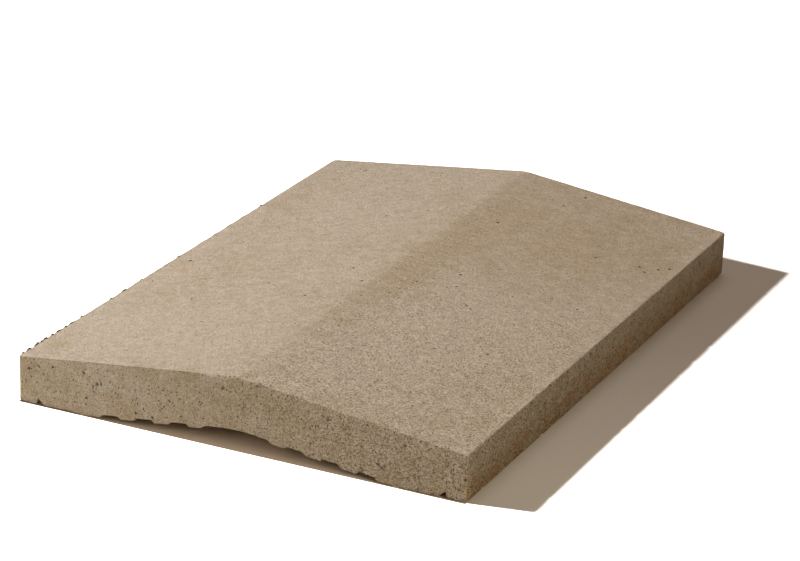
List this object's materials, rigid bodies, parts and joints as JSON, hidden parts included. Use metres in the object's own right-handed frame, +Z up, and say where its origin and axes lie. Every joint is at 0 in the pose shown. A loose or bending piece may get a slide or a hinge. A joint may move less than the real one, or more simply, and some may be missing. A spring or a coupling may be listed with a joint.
{
  "type": "gabled wall coping",
  "caption": "Gabled wall coping of cast concrete: two shallow slopes with a rounded crest, over a raised soffit with key grooves and a drip groove near each eave.",
  "frame": {"origin": "middle of the footprint on the bed plane, under the crest", "axes": "+X across the wall, +Y along the crest, +Z up from the bed"},
  "size_m": [0.35, 0.5, 0.0557],
  "materials": {
    "cast_stone": "fine sandy dry-cast concrete, matt"
  },
  "bodies": {
    "root": {"coping": "cast_stone"}
  },
  "joints": []
}
